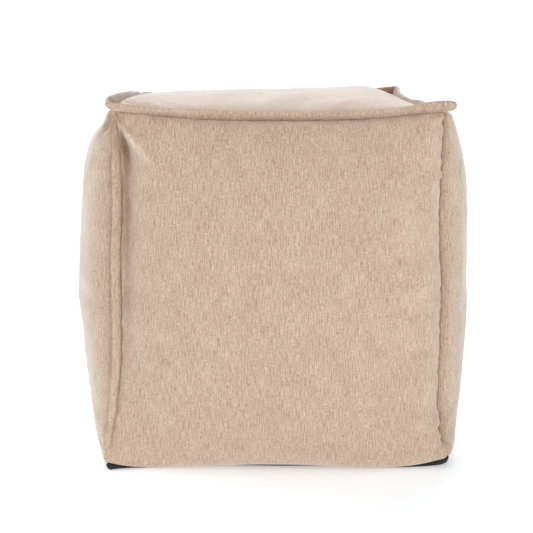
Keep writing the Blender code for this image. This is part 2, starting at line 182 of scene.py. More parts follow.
# Creases: side, half-width on the left of the path, half-width on its right, and the path as
# (along the side, height, depth), where a ridge is positive and a trough negative
CREASES = (
    ("front", 0.0034, 0.012, (
        (-0.2139, 0.4811, 0.0), (-0.2125, 0.4736, 0.005), (-0.207, 0.4641, 0.0085),
        (-0.1994, 0.4563, 0.0095), (-0.1893, 0.4472, 0.009), (-0.1807, 0.4374, 0.008),
        (-0.1725, 0.4267, 0.0065), (-0.167, 0.4178, 0.0035), (-0.162, 0.408, 0.0),
    )),
    ("front", 0.0035, 0.005, (
        (-0.213, 0.479, -0.004), (-0.21, 0.47, -0.01), (-0.207, 0.458, -0.01),
        (-0.205, 0.442, -0.008), (-0.204, 0.425, -0.003), (-0.2035, 0.415, 0.0),
    )),
    ("front", 0.01, 0.006, (
        (-0.21, 0.466, 0.0), (-0.207, 0.452, -0.006), (-0.2045, 0.435, -0.011),
        (-0.203, 0.41, -0.011), (-0.202, 0.37, -0.01), (-0.202, 0.32, -0.009),
        (-0.202, 0.27, -0.0075), (-0.203, 0.23, -0.005), (-0.204, 0.18, -0.0025),
        (-0.205, 0.13, 0.0),
    )),
    ("front", 0.01, 0.016, (
        (-0.189, 0.42, 0.0), (-0.186, 0.395, 0.0016), (-0.183, 0.34, 0.0018),
        (-0.178, 0.31, 0.0015), (-0.173, 0.28, 0.0012), (-0.173, 0.23, 0.0),
    )),
    ("front", 0.0022, 0.0022, (
        (-0.1815, 0.3, 0.0), (-0.1806, 0.284, -0.0009), (-0.1806, 0.268, 0.0),
    )),
    ("front", 0.002, 0.002, (
        (-0.1815, 0.26, 0.0), (-0.1815, 0.248, -0.0011), (-0.182, 0.238, 0.0),
    )),
    ("front", 0.0035, 0.0035, (
        (-0.2095, 0.233, -0.003), (-0.203, 0.245, -0.003), (-0.195, 0.256, 0.0),
    )),
    ("front", 0.003, 0.003, (
        (-0.211, 0.223, -0.002), (-0.204, 0.229, -0.0022), (-0.196, 0.233, 0.0),
    )),
    ("left", 0.013, 0.013, (
        (0.2, 0.473, -0.006), (0.13, 0.464, -0.011), (0.0, 0.462, -0.01), (-0.13, 0.468, 0.0),
    )),
    ("left", 0.008, 0.01, (
        (0.208, 0.478, -0.006), (0.201, 0.46, -0.0085), (0.192, 0.44, 0.0),
    )),
    ("left", 0.012, 0.01, (
        (0.206, 0.238, 0.0), (0.19, 0.228, -0.004), (0.165, 0.213, -0.003), (0.14, 0.2, 0.0),
    )),
    ("left", 0.012, 0.012, (
        (0.204, 0.262, 0.0), (0.185, 0.252, 0.003), (0.155, 0.237, 0.0),
    )),
    ("left", 0.005, 0.006, (
        (0.216, 0.03, -0.003), (0.204, 0.027, -0.004), (0.188, 0.024, 0.0),
    )),
    ("right", 0.006, 0.007, (
        (-0.215, 0.054, 0.0), (-0.206, 0.038, -0.0035), (-0.198, 0.022, 0.0),
    )),
    ("right", 0.01, 0.014, (
        (-0.196, 0.43, 0.0), (-0.19, 0.36, 0.002), (-0.188, 0.26, 0.0018), (-0.19, 0.16, 0.0),
    )),
    ("right", 0.009, 0.012, (
        (0.205, 0.476, -0.004), (0.195, 0.45, -0.007), (0.18, 0.42, 0.0),
    )),
    ("right", 0.01, 0.012, (
        (0.202, 0.3, 0.0), (0.185, 0.286, -0.0035), (0.158, 0.27, 0.0),
    )),
    ("back", 0.008, 0.013, (
        (-0.211, 0.484, 0.0), (-0.199, 0.464, 0.006), (-0.182, 0.442, 0.0055), (-0.164, 0.418, 0.0),
    )),
    ("back", 0.009, 0.012, (
        (0.209, 0.478, 0.0), (0.198, 0.457, -0.0065), (0.18, 0.43, -0.005), (0.166, 0.406, 0.0),
    )),
    ("back", 0.012, 0.015, (
        (-0.201, 0.36, 0.0), (-0.192, 0.29, -0.003), (-0.194, 0.19, 0.0),
    )),
)
CREASE_SEAM_FADE = 0.012

# Puckers along a seam and the slow unevenness of the filling: waves as (shortest, longest, how
# many), the strength of the puckers at the left, right, lower and upper seam, the waves by which
# they come and go and the most that these may count.
PUCKER_REACH = 0.0055
PUCKER_WAVES = (0.009, 0.045, 11)
PUCKER_SHARES = (1.0, 1.0, 0.0, 0.45)
PUCKER_PATCHES = (0.05, 0.25, 5)
PUCKER_MOST = 1.6
UNEVEN_WAVES = (0.080, 0.260, 14)
UNEVEN_SEAM_FADE = 0.030

# Filling of the cover, and its settling: cells of the coarse cloth, the cloth's settings, in which
# shrink_min is its spare length with a minus sign, the steps it takes, the most that a point may
# move, and how its moves are evened and faded.
SETTLE_CELLS = 64
SETTLE_CLOTH = {
    "quality": 5,
    "mass": 0.3,
    "tension_stiffness": 15.0,
    "compression_stiffness": 15.0,
    "shear_stiffness": 5.0,
    "bending_stiffness": 0.4,
    "shrink_min": -0.022,
    "use_pressure": True,
    "uniform_pressure_force": 4.0,
}
SETTLE_FRAMES = 24
SETTLE_MOST = 0.005
SETTLE_GAIN = 0.6
SETTLE_EDGE_CELLS = 6
SETTLE_EVENING = 18
SETTLE_HEM_FADE = 0.20

# Matching of points: the heading along which they are sorted, and how many are tried each way.
MATCH_LINE = (0.5391, 0.3168, 0.7804)
MATCH_TRIES = 4

# Section of a flange, a folded strip: the cloth's thickness, the half-thickness of the fold at
# its fullest and at its stitched root, the share of the width where the fold rounds off, the
# least that the inner skin keeps of the root's half-thickness, and how wide a slit opens.
STRIP_CLOTH = 0.0008
STRIP_HALF = 0.0029
STRIP_ROOT_HALF = 0.0009
STRIP_ROUND_SHARE = 0.70
STRIP_LEAST_SHARE = 0.15
STRIP_SLIT_SPREAD = 0.28
STRIP_FLAT_STEPS = 9
STRIP_TIP_STEPS = 16

# Painted shade and painted highlight in the cloth's colour: the depth of a trough that takes the
# full painted shade, the height of a ridge whose crest takes the full painted highlight and how
# sharply that begins, how far the painted shade at an upright flange's root reaches, the share of
# its width that may take painted shade, and how much painted shade the top flange takes on the
# face towards the top panel and how sharply that ends.
FULL_PAINTED_SHADE_DEPTH = 0.0095
FULL_PAINTED_HIGHLIGHT_HEIGHT = 0.0080
PAINTED_HIGHLIGHT_POWER = 3
ROOT_PAINTED_SHADE_REACH = 0.0030
PAINTED_SHADE_TO = 0.85
INNER_PAINTED_SHADE = 1.80
INNER_PAINTED_SHADE_POWER = 4

# Weave's contrast painted down on the top panel, standing in for the sheen that washes it out:
# share of the weave's contrast that goes.
TOP_SHEEN_WASH = 0.55

# Meshes: distance within which points are welded, cells across a panel, how much closer they stand
# near a seam and how far that reaches, stations along an upright flange, and the steps in which a
# curve is measured and how they crowd at its ends.
WELD = 1e-5
PANEL_CELLS = 132
SEAM_CROWDING = 2.2
CROWDING_REACH = 0.055
CORNER_STATIONS = 150
FINE_STEPS = 4001
FINE_CROWDING = 4

# Spacing of the places on a panel: weight of its width, and hem share and power of a plain bulge.
SPACING_WIDTH = 1.4
SPACING_BULGE = (0.1, 0.3)

# Weave: cells across and along the threads for each metre, detail, place and weight of the slubs,
# the threads, the fibres and the weft, and the same without a weight for the slow mottle.
WEAVE_YARNS = (
    (820.0, 235.0, 2.0, 0.0, 0.9),
    (880.0, 60.0, 1.0, 3.7, 0.95),
    (1500.0, 900.0, 1.0, 9.1, 0.3),
    (110.0, 900.0, 1.0, 5.3, 0.4),
)
WEAVE_MOTTLE = (34.0, 22.0, 2.0, 1.9)

# The two cloths: contrast and mottle of the weave, and how the cloth takes the light.
HEATHER_WEAVE = (1.37, 0.38)
HEATHER_FINISH = {
    "Roughness": 0.95,
    "Specular IOR Level": 0.25,
    "Sheen Weight": 0.80,
    "Sheen Roughness": 0.40,
    "Sheen Tint": (1.0, 1.0, 1.0, 1.0),
}
BLACK_WEAVE = (0.8, 0.2)
BLACK_YARNS = (0.6, 1.4)
BLACK_FINISH = {"Roughness": 0.9, "Specular IOR Level": 0.3}

LENS = 63.76
CAMERA_PLACE = (-0.0464, -1.4493, 0.5530)
CAMERA_PITCH = 7.15
CAMERA_TURN = -1.3
CAMERA_SHIFT = -0.170

# Studio: half the floor's side, the floor's glow, its glow in the picture and its shade, the light
# of the sky and of the backdrop in the picture, and the soft lights as (name, direction they come
# from, strength, spread in degrees).
FLOOR_HALF = 8.0
FLOOR_CORNERS = ((-1, -1), (1, -1), (1, 1), (-1, 1))
FLOOR_GLOW = 0.34
FLOOR_SEEN_GLOW = 0.30
FLOOR_SHADE = (0.90, 0.95, 0.99)
FLOOR_FINISH = {
    "Base Color": (*FLOOR_SHADE, 1.0),
    "Roughness": 0.9,
    "Specular IOR Level": 0.0,
    "Emission Color": (1.0, 1.0, 1.0, 1.0),
}
SKY_STRENGTH = 0.02
BACKDROP_STRENGTH = 1.2
STUDIO_LIGHTS = (
    ("overhead_light", (0.0, 0.0, 1.0), 0.80, 60.0),
    ("key_light", (0.6, -0.7, 0.45), 1.52, 40.0),
    ("front_light", (-0.1, -0.9, 0.35), 0.36, 60.0),
    ("back_light", (0.1, 0.9, 0.40), 2.00, 50.0),
    ("back_left_light", (-0.65, 0.6, 0.5), 1.30, 50.0),
    ("left_light", (-0.95, -0.1, 0.4), 1.00, 50.0),
)


# ---- sizes and colours


class PoufSizes(bpy.types.PropertyGroup):
    """Sizes of the filled cube and of its flanges."""

    reach_top: FloatProperty(
        name="Top reach", description="Half the distance between upright seams at the top",
        default=0.214, unit="LENGTH")
    reach_middle: FloatProperty(
        name="Middle reach", description="Half the distance between upright seams halfway up",
        default=0.212, unit="LENGTH")
    reach_hem: FloatProperty(
        name="Hem reach", description="Half the distance between upright seams at the hem",
        default=0.2235, unit="LENGTH")
    seam_draw: FloatProperty(
        name="Seam draw", description="How far the top seam is drawn in between its corners",
        default=0.008, unit="LENGTH")
    crown: FloatProperty(
        name="Crown", description="Height of the top panel over its seams",
        default=0.0370, unit="LENGTH")
    hem_arch: FloatProperty(
        name="Hem arch", description="How far the hem lifts in the middle of a side",
        default=0.0066, unit="LENGTH")
    pucker: FloatProperty(
        name="Puckers", description="Depth of the puckers along the seams",
        default=0.0007, unit="LENGTH")
    uneven: FloatProperty(
        name="Unevenness", description="Slow unevenness of the filling",
        default=0.0011, unit="LENGTH")
    corner_flange: FloatProperty(
        name="Upright flange", description="Width of the flange in the upright seams",
        default=0.0145, unit="LENGTH")
    corner_flange_end: FloatProperty(
        name="Upright flange ends", description="Width of the upright flange at its ends",
        default=0.0105, unit="LENGTH")
    corner_fullness: FloatProperty(
        name="Upright fullness", description="Fullness of the fold of the upright flanges",
        default=0.50, subtype="FACTOR")


class PoufCloths(bpy.types.PropertyGroup):
    """Colours and finish of the two cloths."""

    yarn_dark: FloatVectorProperty(
        name="Dark yarn", description="Darkest of the heathered yarns",
        subtype="COLOR", size=3, default=(0.410, 0.282, 0.198), min=0.0, max=1.0)
    yarn_light: FloatVectorProperty(
        name="Light yarn", description="Lightest of the heathered yarns",
        subtype="COLOR", size=3, default=(0.715, 0.556, 0.432), min=0.0, max=1.0)
    # Colour multiplied into the cloth where shade is painted; where a highlight is painted on a
    # crest the same colour lightens it instead.
    painted_shade_dim: FloatVectorProperty(
        name="Hollows", description="What is left of the colour where the cloth lies hollow",
        default=(0.72, 0.66, 0.61), min=0.0, max=1.0, size=3, subtype="COLOR")
    black: FloatVectorProperty(
        name="Base cloth", description="Colour of the cloth under the stool",
        subtype="COLOR", size=3, default=(0.024, 0.024, 0.024), min=0.0, max=1.0)
    relief: FloatProperty(
        name="Weave relief", description="Height of the yarns over the weave",
        default=0.00022, unit="LENGTH", precision=5)
    seed: IntProperty(
        name="Seed", description="Seed of the puckers and of the unevenness", default=7)


# ---- shapes


def unit(values):
    """The values held between 0 and 1."""
    return np.clip(values, 0.0, 1.0)


def turned(points, degrees):
    """The points turned about the upright axis."""
    c, s = math.cos(math.radians(degrees)), math.sin(math.radians(degrees))
    return points @ np.array(((c, s, 0.0), (-s, c, 0.0), (0.0, 0.0, 1.0)))


def even_places(curve, cells, crowding):
    """Places from -1 to 1 that part a symmetrical curve into equal lengths, or into shorter
    ones near both ends, where a length counts 1 + crowding * exp(-distance / reach) times."""
    u = np.linspace(-1.0, 1.0, FINE_STEPS)
    fine = np.sign(u) * (1.0 - (1.0 - np.abs(u)) ** FINE_CROWDING)
    steps = np.linalg.norm(np.diff(curve(fine), axis=0), axis=1)
    length = np.cumsum(steps)
    from_end = np.minimum(length, length[-1] - length)
    counted = steps * (1.0 + crowding * np.exp(-from_end / CROWDING_REACH))
    length = np.concatenate([[0.0], np.cumsum(counted)])
    return np.interp(np.linspace(0.0, length[-1], cells + 1), length, fine)


def seam_reach(sizes, t, flare):
    """Half the distance between facing seams: bowed in halfway up and flared at the foot."""
    end = np.where(t > 0.5, sizes.reach_top, sizes.reach_hem)
    bowed = sizes.reach_middle + (end - sizes.reach_middle) * np.abs(2.0 * t - 1.0) ** SEAM_BOW
    return bowed + flare * np.exp(-((t / FOOT_FLARE_SHARE) ** 2))


def top_seam_height(row, s):
    """Height of the top seam: its middle height, eased by a power of s to each corner's."""
    middle, first, last = row[4:7]
    near_first = unit(-s) ** TOP_SEAM_BOW
    near_last = unit(s) ** TOP_SEAM_BOW
    rise_first = CORNERS[first][0] - middle
    rise_last = CORNERS[last][0] - middle
    return middle + rise_first * near_first + rise_last * near_last


def top_draw(sizes, s):
    """How far the top seam is drawn in: all of the draw in the middle, none at the corners."""
    return sizes.seam_draw * (1.0 - np.abs(s) ** TOP_SEAM_BOW)


def hem_height(sizes, row, s):
    """Height of the hem: a low arch over the side, and a lift of its own at each corner."""
    height = HEM_LOW + sizes.hem_arch * (1.0 - s**2) ** HEM_ARCH_POWER
    for corner, towards in ((row[5], -s), (row[6], s)):
        lift, power = HEM_CORNERS[corner][:2]
        height = height + lift * unit(towards) ** power
    return height


def bulge_share(t, hem_share, shoulder_power):
    """Share of the bulge: 1 at the widest height, falling by a power law to both seams."""
    above = unit((t - WIDEST_SHARE) / (1.0 - WIDEST_SHARE))
    below = unit((WIDEST_SHARE - t) / WIDEST_SHARE)
    shoulder = (1.0 - above**2) ** shoulder_power
    foot = hem_share + (1.0 - hem_share) * (1.0 - below**2) ** FOOT_POWER
    return np.where(t > WIDEST_SHARE, shoulder, foot)


def crease_depth(side, x, z, sign=0):
    """Creases: across each path a bell of the nearest distance to it, in that side's
    half-width, as high as the depth along the path. A sign keeps the ridges or the troughs."""
    total = np.zeros_like(x)
    for name, left, right, path in CREASES:
        if name != side:
            continue
        nearest_share, height = np.full_like(x, np.inf), np.zeros_like(x)
        for (x0, z0, first), (x1, z1, last) in zip(path, path[1:]):
            run, rise = x1 - x0, z1 - z0
            f = unit(((x - x0) * run + (z - z0) * rise) / (run**2 + rise**2))
            away = np.hypot(x - x0 - f * run, z - z0 - f * rise)
            on_left = run * (z - z0) - rise * (x - x0) > 0.0
            share = away / np.where(on_left, left, right)
            closer = share < nearest_share
            nearest_share = np.where(closer, share, nearest_share)
            height = np.where(closer, first + (last - first) * f, height)
        kept = height if sign == 0 else np.where(height * sign > 0.0, height, 0.0)
        total += kept * np.exp(-(nearest_share**2))
    return total


def side_surface(sizes, row, s, t):
    """A side panel: x is s times the seam reach, z runs from hem to top seam, and the panel
    stands out by its reach, less the seam's draw, plus its bulge, its creases and the lean of
    its hem."""
    name, turn, bulge, hem_bulge = row[:4]
    shoulder_power, hem_lean, rise_first, rise_last = row[7:]
    flare_first, flare_last = CORNERS[row[5]][1], CORNERS[row[6]][1]
    flare = flare_first * unit(-s) ** FOOT_FLARE_POWER
    flare = flare + flare_last * unit(s) ** FOOT_FLARE_POWER
    reach = seam_reach(sizes, t, flare)
    low = hem_height(sizes, row, s)
    x = s * reach
    z = low + (top_seam_height(row, s) - low) * t
    edge = unit(1.0 - s**2)
    out = reach - top_draw(sizes, s) * t**TOP_DRAW_FADE
    rise = 0.5 * (rise_first * (1.0 - s) + rise_last * (1.0 + s))
    out = out + bulge * bulge_share(t, hem_bulge / bulge, shoulder_power) * edge**rise
    out = out + hem_lean * s * np.sqrt(edge) * (1.0 - t) ** HEM_LEAN_FADE
    inside = np.minimum((1.0 - np.abs(s)) * reach, np.minimum(z - low, (1.0 - t) * z))
    out = out + crease_depth(name, x, z) * unit(inside / CREASE_SEAM_FADE) ** 0.5
    return wandered(turned(np.stack([x, -out, z], axis=-1), turn))


def wandered(points):
    """The points with the upright seams drawn in and let out along their diagonals.

    At each corner the shift is the table's, eased over the height, and fades by a bell of the
    distance from the seam in plan.
    """
    moved = points.copy()
    for name, table in SEAM_WANDER.items():
        side = np.array((1.0 if "right" in name else -1.0, 1.0 if "back" in name else -1.0))
        corner = side * (SEAM_WANDER_CORNER, SEAM_WANDER_CORNER)
        away = np.linalg.norm(points[..., :2] - corner, axis=-1)
        shift = eased(table, 1, points[..., 2]) * np.exp(-((away / WANDER_REACH) ** 2))
        moved[..., :2] -= shift[..., None] * side
    return moved


def top_surface(sizes, p, q):
    """The top panel: a sheet blended between its four seams, and a crown standing on it.

    The crown is a power of (1 - p^2) on the left half and 1 - |p|^n on the right one, times a
    power of 1 - |q|^m from front to back, and is tilted and twisted a little.
    """
    front, right, back, left = (top_seam_height(row, u) for row, u in zip(SIDES, (p, q, -p, -q)))
    fl, fr, br, bl = (CORNERS[row[5]][0] for row in SIDES)
    flat = 0.5 * (front * (1 - q) + back * (1 + q) + left * (1 - p) + right * (1 + p))
    near = (fl * (1 - p) + fr * (1 + p)) * (1 - q)
    far = (bl * (1 - p) + br * (1 + p)) * (1 + q)
    flat = flat - 0.25 * (near + far)
    left_part = unit(1.0 - p**2) ** CROWN_LEFT_POWER
    right_part = 1.0 - np.abs(p) ** CROWN_RIGHT_RUN
    crown = np.where(p < 0.0, left_part, right_part)
    bank = unit(1.0 - np.abs(q) ** CROWN_DEPTH_RUN) ** CROWN_DEPTH_POWER
    crown = crown * (CROWN_BANK * bank + (1.0 - CROWN_BANK) * (1.0 - q**2))
    lean = 1.0 + CROWN_TILT * 0.5 * p * (1.0 - p) + CROWN_TWIST * p * q
    z = flat + sizes.crown * crown * lean
    x = p * (sizes.reach_top - top_draw(sizes, q))
    y = q * (sizes.reach_top - top_draw(sizes, p))
    return np.stack([x, y, z], axis=-1)


def lengths_along(points, axis):
    """Distance over the surface along one direction of a grid, from the grid's first line."""
    steps = np.linalg.norm(np.diff(points, axis=axis), axis=-1)
    padding = [(0, 0)] * steps.ndim
    padding[axis] = (1, 0)
    return np.cumsum(np.pad(steps, padding), axis=axis)


def middle_of(lengths, axis):
    """The lengths counted from the middle line instead."""
    return lengths - np.take(lengths, [lengths.shape[axis] // 2], axis=axis)


def outwards(points):
    """Unit normals of a grid whose columns run right and whose rows run up or back."""
    across = np.gradient(points, axis=1)
    upwards = np.gradient(points, axis=0)
    normal = np.cross(across, upwards)
    return normal / np.maximum(np.linalg.norm(normal, axis=-1, keepdims=True), 1e-12)


def soft_waves(seed, shortest, longest, count, a, b=None):
    """Seeded sum of sine waves over a, or over a and b in all headings, of even strength."""
    rng = np.random.default_rng(seed)
    lengths = np.exp(rng.uniform(math.log(shortest), math.log(longest), count))
    headings = rng.uniform(0.0, 2.0 * math.pi, count)
    phases = rng.uniform(0.0, 2.0 * math.pi, count)
    total = np.zeros_like(a)
    for length, heading, phase in zip(lengths, headings, phases):
        run = a if b is None else a * math.cos(heading) + b * math.sin(heading)
        total += np.sin(2.0 * math.pi * run / length + phase)
    return total * math.sqrt(2.0 / count)


def relieved(sizes, points, seed):
    """The grid with puckers and unevenness along its normals, and its cloth coordinates.

    A pucker is a wave along the seam, rising from it by d/r exp(1 - d/r) at distance d. The
    unevenness is a sum of slow waves, faded towards the seams.
    """
    u, v = lengths_along(points, 1), lengths_along(points, 0)
    height = np.zeros_like(u)
    far = np.inf
    edges = ((u, v), (u[:, -1:] - u, v), (v, u), (v[-1:] - v, u))
    for i, ((gap, run), share) in enumerate(zip(edges, PUCKER_SHARES)):
        rise = gap / PUCKER_REACH * np.exp(1.0 - gap / PUCKER_REACH)
        gathers = soft_waves(seed + i, *PUCKER_WAVES, run)
        patchy = 0.5 + 0.5 * soft_waves(seed + 50 + i, *PUCKER_PATCHES, run)
        height += share * sizes.pucker * rise * gathers * np.clip(patchy, 0.0, PUCKER_MOST)
        far = np.minimum(far, gap)
    slow = soft_waves(seed + 9, *UNEVEN_WAVES, u, v)
    height += sizes.uneven * slow * far / (far + UNEVEN_SEAM_FADE)
    cloth = np.stack([middle_of(u, 1), middle_of(v, 0)], axis=-1)
    return points + outwards(points) * height[..., None], cloth


def painted_shading_of(row, points):
    """Painted shading of a side panel, from 0 to 1: painted shade by the depth of its troughs, in
    full at the depth that takes the full painted shade. It is below 0, down to -1, on the crest of
    a ridge, where a painted highlight lightens the colour."""
    flat = turned(points, -row[1])
    troughs = crease_depth(row[0], flat[..., 0], flat[..., 2], -1)
    ridges = crease_depth(row[0], flat[..., 0], flat[..., 2], 1)
    painted_shading = unit(-troughs / FULL_PAINTED_SHADE_DEPTH)
    return painted_shading - unit(ridges / FULL_PAINTED_HIGHLIGHT_HEIGHT) ** PAINTED_HIGHLIGHT_POWER


# ---- meshes


def grid_mesh(name, grids, finish):
    """One closed mesh from grids of (points, cloth coordinates and, where given, the painted shade
    and painted highlight of the cloth and how far its weave's contrast is painted down under the
    sheen), welded along shared edges."""
    values, faces, start = [], [], 0
    for points, *layers in grids:
        rows, columns = points.shape[:2]
        index = start + np.arange(rows * columns).reshape(rows, columns)
        quads = [index[:-1, :-1], index[:-1, 1:], index[1:, 1:], index[1:, :-1]]
        faces.append(np.stack(quads, axis=-1).reshape(-1, 4))
        blank = np.zeros((rows, columns, 3 - len(layers)))
        layers = [layer.reshape(rows, columns, -1) for layer in layers]
        values.append(np.concatenate([points, *layers, blank], axis=-1).reshape(-1, 7))
        start += rows * columns
    values, faces = np.concatenate(values), np.concatenate(faces)
    mesh = bpy.data.meshes.new(name)
    mesh.from_pydata(values[:, :3].tolist(), [], faces.tolist())
    layer = mesh.uv_layers.new(name="cloth")
    cloth = values[faces.reshape(-1), 3:5].astype(np.float32)
    layer.uv.foreach_set("vector", cloth.reshape(-1))
    # Attributes of the painted shade and highlight, and of the weave's contrast painted down
    for column, attribute in ((5, "painted_shading"), (6, "painted_sheen_wash")):
        layer = mesh.attributes.new(attribute, "FLOAT", "POINT")
        layer.data.foreach_set("value", values[:, column].astype(np.float32))
    shape = bmesh.new()
    shape.from_mesh(mesh)
    bmesh.ops.remove_doubles(shape, verts=shape.verts, dist=WELD)
    bmesh.ops.recalc_face_normals(shape, faces=shape.faces)
    shape.to_mesh(mesh)
    shape.free()
    mesh.shade_smooth()
    mesh.materials.append(finish)
    piece = bpy.data.objects.new(name, mesh)
    bpy.context.scene.collection.objects.link(piece)
    return piece


def panel_places(sizes, cells=PANEL_CELLS, crowding=SEAM_CROWDING):
    """Places across a panel and up it, spaced over the bulged cloth."""
    bulge = max(row[2] for row in SIDES)

    def across(s):
        edge = 1.0 - s**2
        return np.stack([s * sizes.reach_middle * SPACING_WIDTH, bulge * edge**SIDES[1][9],
                         sizes.crown * edge**CROWN_LEFT_POWER], axis=-1)

    def upwards(u):
        t = 0.5 * (1.0 + u)
        return np.stack([t * SIDES[0][4], bulge * bulge_share(t, *SPACING_BULGE)], axis=-1)

    s = even_places(across, cells, crowding)
    s = 0.5 * (s - s[::-1])
    t = 0.5 * (1.0 + even_places(upwards, cells, crowding))
    return s, t


def hem_ring(sizes, places):
    """The hem as one closed ring of points, its first point repeated at the end."""
    rings = [side_surface(sizes, row, places[:-1], np.zeros(len(places) - 1)) for row in SIDES]
    ring = np.concatenate(rings)
    return np.concatenate([ring, ring[:1]])


def towards_flat(sizes, ring, share, height):
    """The ring moved by a share of the band towards the flat of the underside."""
    scale = 1.0 - share * BASE_BAND / sizes.reach_hem
    moved = ring * scale[:, None]
    moved[:, 2] = ring[:, 2] + (height - ring[:, 2]) * share
    return moved


def stacked(rings):
    """Rings as one grid, with plan coordinates as its cloth coordinates."""
    points = np.stack(rings)
    return points, points[..., :2].copy()


def bare_panels(sizes, s, t):
    """The four side panels and the top panel, before they settle."""
    across, upwards = np.meshgrid(s, t)
    panels = [side_surface(sizes, row, across, upwards) for row in SIDES]
    panels.append(top_surface(sizes, *np.meshgrid(s, s)))
    return panels


def settling_cloth(sizes, s, t):
    """A coarse closed cloth of the panels, each seam and the underside held fast."""
    panels = bare_panels(sizes, s, t)
    hem = hem_ring(sizes, s)
    middle = np.zeros_like(hem)
    middle[:, 2] = hem[:, 2]
    grids = [(panel, panel[..., :2]) for panel in panels] + [stacked([middle, hem])]
    finish = heathered_cloth(bpy.context.scene.pouf_cloths)
    cloth = grid_mesh("settling_cloth", grids, finish)
    rows, columns = panels[0].shape[:2]
    held = np.ones((rows, columns), bool)
    held[1:-1, 1:-1] = False
    fast = np.concatenate([panel[held] for panel in panels] + [middle[:1]])
    return cloth, panels, fast


def nearest(cloud, points):
    """Index in the cloud of the point at each of the points. All are sorted along a slanting
    line, and each point takes the nearest of the few that lie next to it along that line."""
    along = cloud @ np.array(MATCH_LINE)
    order = np.argsort(along)
    at = np.searchsorted(along[order], points @ np.array(MATCH_LINE))
    tries = at[:, None] + np.arange(-MATCH_TRIES, MATCH_TRIES)
    tries = order[np.clip(tries, 0, len(cloud) - 1)]
    away = np.linalg.norm(cloud[tries] - points[:, None], axis=-1)
    return np.take_along_axis(tries, away.argmin(axis=1)[:, None], axis=1)[:, 0]


def points_of(mesh):
    """The mesh's points as rows of x, y and z."""
    places = np.empty(len(mesh.vertices) * 3)
    mesh.vertices.foreach_get("co", places)
    return places.reshape(-1, 3)


def settled_moves(sizes, s, t):
    """How far each point of the coarse panels moves when the filled cloth settles.

    The cloth is cut a little long, held at its seams and blown up by a slight pressure with
    no gravity, so it swells between the seams and puckers near them. A point moves no
    further than the cap allows.
    """
    cloth, panels, fast = settling_cloth(sizes, s, t)
    before = points_of(cloth.data)
    group = cloth.vertex_groups.new(name="held")
    group.add(nearest(before, fast).tolist(), 1.0, "REPLACE")
    modifier = cloth.modifiers.new("settle", "CLOTH")
    for setting, value in SETTLE_CLOTH.items():
        setattr(modifier.settings, setting, value)
    modifier.settings.vertex_group_mass = "held"
    modifier.settings.effector_weights.gravity = 0.0
    modifier.collision_settings.use_collision = False
    scene = bpy.context.scene
    for step in range(1, SETTLE_FRAMES + 1):
        scene.frame_set(step)
    graph = bpy.context.evaluated_depsgraph_get()
    moved = points_of(cloth.evaluated_get(graph).data) - before
    scene.frame_set(1)
    bpy.data.objects.remove(cloth, do_unlink=True)
    found = nearest(before, np.concatenate([panel.reshape(-1, 3) for panel in panels]))
    moves = moved[found].reshape(len(panels), *panels[0].shape)
    moves = moves - evened(moves, SETTLE_EVENING)
    cells = moves.shape[1]
    inside = np.minimum(np.arange(cells), np.arange(cells)[::-1]) / SETTLE_EDGE_CELLS
    inside = unit(inside)[None, :, None, None]
    swell = inside * moves.mean(axis=1, keepdims=True)
    swell = swell + inside.swapaxes(1, 2) * moves.mean(axis=2, keepdims=True)
    moves = SETTLE_GAIN * (moves - swell)
    moves[:-1] *= unit(t / SETTLE_HEM_FADE)[None, :, None, None]
    size = np.linalg.norm(moves, axis=-1, keepdims=True)
    return moves / np.maximum(size, 1e-9) * SETTLE_MOST * np.tanh(size / SETTLE_MOST)


def evened(moves, rounds):
    """The moves averaged with their neighbours a number of times, still nothing at a seam."""
    soft = moves.copy()
    for _ in range(rounds):
        for line in (soft, soft.swapaxes(1, 2)):
            line[:, 1:-1] = 0.25 * line[:, :-2] + 0.5 * line[:, 1:-1] + 0.25 * line[:, 2:]
    return soft


def cubic_weights(coarse, fine):
    """Matrix that carries values at the coarse places to the fine ones by cubic blending."""
    at = np.interp(fine, coarse, np.arange(len(coarse)))
    first = np.clip(at.astype(int), 0, len(coarse) - 2)
    f = at - first
    blend = (-0.5 * f**3 + f**2 - 0.5 * f, 1.5 * f**3 - 2.5 * f**2 + 1.0,
             -1.5 * f**3 + 2.0 * f**2 + 0.5 * f, 0.5 * f**3 - 0.5 * f**2)
    weights = np.zeros((len(fine), len(coarse)))
    for offset, share in enumerate(blend):
        column = np.clip(first + offset - 1, 0, len(coarse) - 1)
        np.add.at(weights, (np.arange(len(fine)), column), share)
    return weights


def settled_panels(sizes, s, t):
    """The panels with the settled moves carried over to their finer grid."""
    panels = bare_panels(sizes, s, t)
    coarse_s, coarse_t = panel_places(sizes, SETTLE_CELLS, 0.0)
    moves = settled_moves(sizes, coarse_s, coarse_t)
    across, upwards = cubic_weights(coarse_s, s), cubic_weights(coarse_t, t)
    for i, panel in enumerate(panels):
        rows = across if i == len(panels) - 1 else upwards
        panels[i] = panel + np.einsum("ai,ijk,bj->abk", rows, moves[i], across)
    return panels


